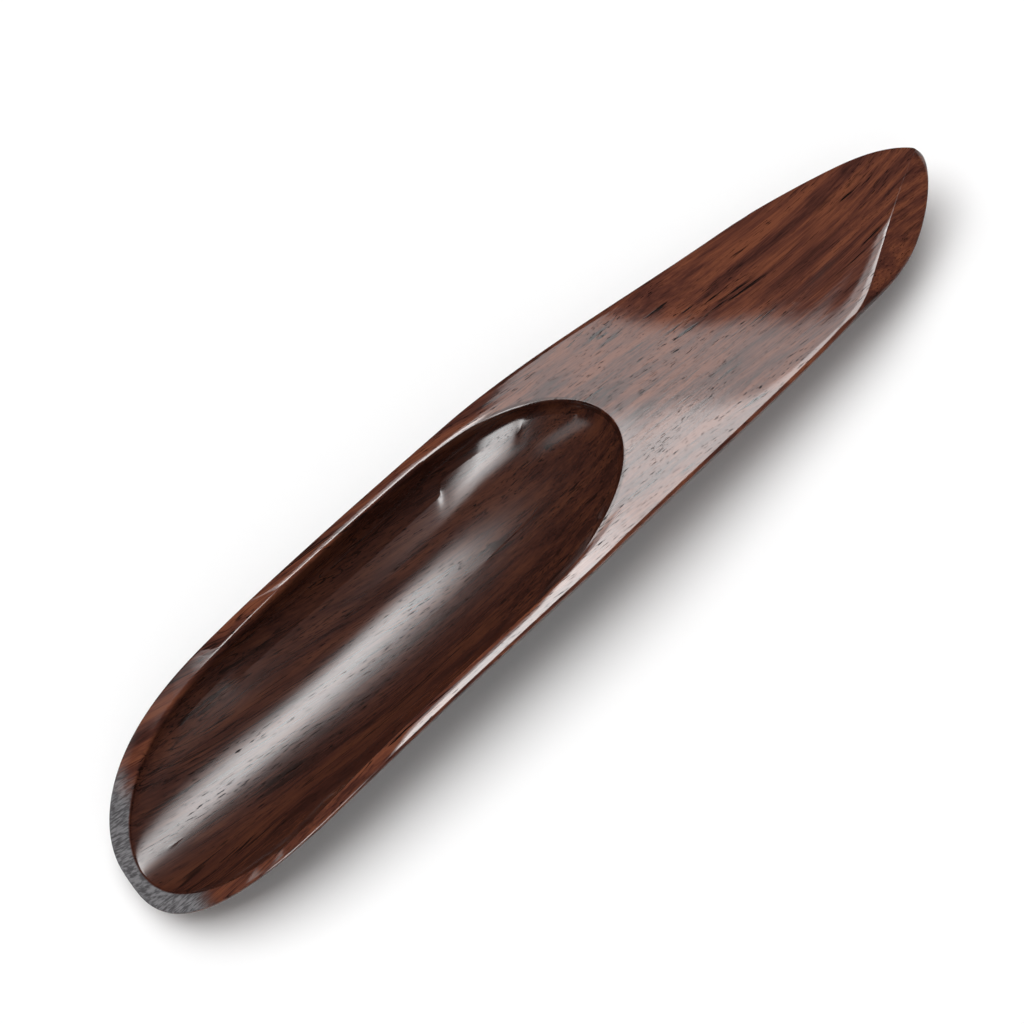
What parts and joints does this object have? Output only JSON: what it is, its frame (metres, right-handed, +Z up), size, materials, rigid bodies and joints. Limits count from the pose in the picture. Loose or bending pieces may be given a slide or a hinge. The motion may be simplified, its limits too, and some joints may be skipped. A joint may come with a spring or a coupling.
{
  "type": "tea scoop",
  "caption": "Slender tea scoop carved from one billet of dark wood: a long boat-shaped bowl with a flat rim runs on into a tapering, slightly upswept handle with a ridged tip.",
  "frame": {"origin": "centre of the scoop's outline, on the surface that it rests on", "axes": "+X from the pouring lip to the tip of the handle, +Z up out of the hollow, and -Y towards the side on which the tip is cut to a ridge"},
  "size_m": [0.18, 0.042, 0.015],
  "materials": {
    "rosewood": "polished dark reddish-brown rosewood with black streaks and fine pores, satin gloss"
  },
  "bodies": {
    "root": {"scoop": "rosewood"}
  },
  "joints": []
}
